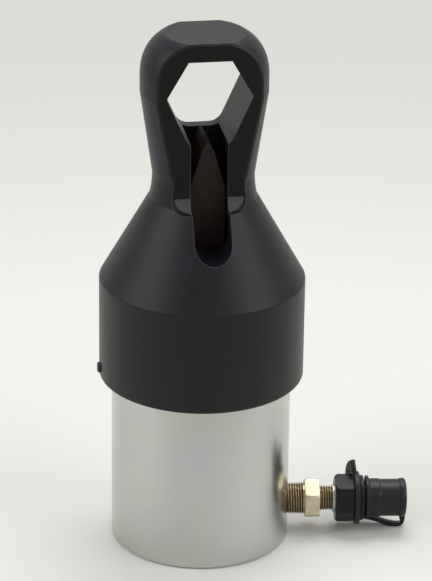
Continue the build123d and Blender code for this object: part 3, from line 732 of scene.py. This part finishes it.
# A circle of the wire's size carried along a helix, square to its run, with its ends closed. It is
# attached to the ram's body.
def makeSpring():
    s = springSize
    low, high = (np.array(corner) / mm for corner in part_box("return_spring"))
    wire = s["wire"] / 2
    radius = (high[0] - low[0]) / 2 - wire
    rise = high[2] - low[2] - s["wire"]
    t = np.linspace(0, 1, s["turns"] * s["perTurn"] + 1)
    angle = 2 * np.pi * s["turns"] * t
    outward = np.stack([np.cos(angle), np.sin(angle), 0 * t], 1)
    climb = rise / (2 * np.pi * s["turns"] * radius)
    forward = np.stack([-np.sin(angle), np.cos(angle), 0 * t + climb], 1)
    forward /= np.linalg.norm(forward, axis=1)[:, None]
    upward = np.cross(outward, forward)
    middle = radius * outward + (low[2] + wire + rise * t)[:, None] * [0, 0, 1]
    turn = roundAngles(s["around"])[0]
    across, along = (part[None, :, None] for part in (np.cos(turn), np.sin(turn)))
    ring = across * outward[:, None] + along * upward[:, None]
    tube = middle[:, None] + wire * ring
    ends = np.broadcast_to(middle[[0, -1], None], (2, s["around"], 3))
    made = outwardMesh("ramReturnSpring", mm * np.vstack([ends[:1], tube, ends[1:]]), False, True,
                       "spring_steel", smoothTo)
    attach(made, "ram")
    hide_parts("return_spring")
    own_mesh(made)


makeSpring()
print("nipple, coupling, cap, ring, strap and spring made")

# Colours and strength of the room: the backdrop that is seen, and the light that falls on the tool
roomLight = {"seen": "#dddcd7", "ambient": "#ffffff", "strength": 0.42}

# Floor: a wide sweep of white paper, its colour painted darker where it runs on towards the camera, a painted
# shade.
# Away from the tool it fades into the backdrop's colour. Distances are in metres from the tool.
floorSize = {
    "half": 4.0, "lit": "#dfdfda", "dim": "#a3a3a0", "litTo": 0.08, "dimFrom": 0.5,
    "fadeFrom": 0.33, "fadeTo": 0.95, "roughness": 0.9, "specular": 0.1,
}


# 1 for rays from the camera and those that were reflected or looked through, else 0
def seenRays(tree):
    ray = addNode(tree, "ShaderNodeLightPath").outputs
    seen = maths(tree, "ADD", ray["Is Camera Ray"], ray["Is Glossy Ray"], True)
    return maths(tree, "ADD", seen, ray["Is Transmission Ray"], True)


def makeFloor():
    s = floorSize
    corners = s["half"] * np.array([(-1, -1, 0), (1, -1, 0), (1, 1, 0), (-1, 1, 0)])
    mesh = bpy.data.meshes.new("paperSweep")
    mesh.from_pydata(corners.tolist(), [], [(0, 1, 2, 3)])
    floor = bpy.data.objects.new("paperSweep", mesh)
    bpy.context.scene.collection.objects.link(floor)
    paper, tree, shader = newMaterial("white paper", 0.0, s["specular"])
    shader.inputs["Roughness"].default_value = s["roughness"]
    place = addNode(tree, "ShaderNodeTexCoord").outputs["Object"]
    forward = addNode(tree, "ShaderNodeSeparateXYZ", {"Vector": place}).outputs["Y"]
    # painted shade: the paper darker towards the camera
    dimness = ranged(tree, forward, -s["litTo"], -s["dimFrom"])
    tree.links.new(mixed(tree, dimness, s["lit"], s["dim"]), shader.inputs["Base Color"])
    away = addNode(tree, "ShaderNodeVectorMath", {0: place}, operation="LENGTH").outputs["Value"]
    fade = maths(tree, "MULTIPLY", ranged(tree, away, s["fadeFrom"], s["fadeTo"]), seenRays(tree))
    backdrop = addNode(tree, "ShaderNodeEmission", {"Color": sRgb(roomLight["seen"]), "Strength": 1.0})
    both = addNode(tree, "ShaderNodeMixShader", {
        0: fade, 1: shader.outputs[0], 2: backdrop.outputs[0]})
    tree.links.new(both.outputs[0], tree.nodes["Material Output"].inputs["Surface"])
    floor.data.materials.append(paper)


makeFloor()

# Camera where the photographer stood: a long lens, looking down on the tool. Distance and height
# are in metres, turns in degrees, and the lens and its sensor in millimetres.
cameraPlace = {
    "distance": 1.5618, "height": 0.8282, "turn": -9.3, "yaw": 0.283, "pitch": 23.54, "roll": 0.7735,
    "lens": 191.1, "sensor": 36, "clip": (0.05, 50),
}


def makeCamera():
    s = cameraPlace
    turn, yaw, pitch, roll = (math.radians(s[k]) for k in ("turn", "yaw", "pitch", "roll"))
    data = bpy.data.cameras.new("photoCamera")
    data.lens = s["lens"]
    data.sensor_width = s["sensor"]
    data.clip_start, data.clip_end = s["clip"]
    camera = bpy.data.objects.new("photoCamera", data)
    bpy.context.scene.collection.objects.link(camera)
    place = Matrix.Rotation(turn, 4, "Z") @ Matrix.Translation((0, -s["distance"], s["height"]))
    look = (Matrix.Rotation(-yaw, 4, "Z") @ Matrix.Rotation(math.pi / 2 - pitch, 4, "X")
            @ Matrix.Rotation(roll, 4, "Z"))
    camera.matrix_world = place @ look
    bpy.context.scene.camera = camera


makeCamera()

# Light: a pale room, one large soft box each side and one above and behind. Each lamp stands at an
# azimuth counted from the camera's side, positive to the right, and looks at the tool's foot.
lights = {
    "left": {"azimuth": -72, "height": 38, "far": 1.5, "size": 1.1, "watts": 9.5},
    "right": {"azimuth": 68, "height": 34, "far": 1.5, "size": 1.0, "watts": 8},
    "top": {"azimuth": 165, "height": 68, "far": 1.5, "size": 0.9, "watts": 11},
}


def makeLights():
    for name, s in lights.items():
        data = bpy.data.lights.new(name, "AREA")
        data.energy, data.size = s["watts"], s["size"]
        lamp = bpy.data.objects.new(name, data)
        azimuth, height = math.radians(s["azimuth"] + cameraPlace["turn"]), math.radians(s["height"])
        level = Vector((math.sin(azimuth), -math.cos(azimuth), 0)) * math.cos(height)
        lamp.location = (level + Vector((0, 0, math.sin(height)))) * s["far"]
        lamp.rotation_mode = "QUATERNION"
        lamp.rotation_quaternion = (-lamp.location).to_track_quat("-Z", "Y")
        bpy.context.scene.collection.objects.link(lamp)


# The world lights the tool as a white room, and is seen, reflected or looked through as a backdrop
def makeRoom():
    world = bpy.data.worlds.new("paleRoom")
    bpy.context.scene.world = world
    world.use_nodes = True
    tree = world.node_tree
    tree.nodes.clear()
    ambient = addNode(tree, "ShaderNodeBackground", {
        "Color": sRgb(roomLight["ambient"]), "Strength": roomLight["strength"]})
    backdrop = addNode(tree, "ShaderNodeBackground", {"Color": sRgb(roomLight["seen"]), "Strength": 1.0})
    both = addNode(tree, "ShaderNodeMixShader", {
        0: seenRays(tree), 1: ambient.outputs[0], 2: backdrop.outputs[0]})
    addNode(tree, "ShaderNodeOutputWorld", {"Surface": both.outputs[0]})


makeLights()
makeRoom()
bpy.context.scene.view_settings.view_transform = "Standard"
print("floor, camera and light set")
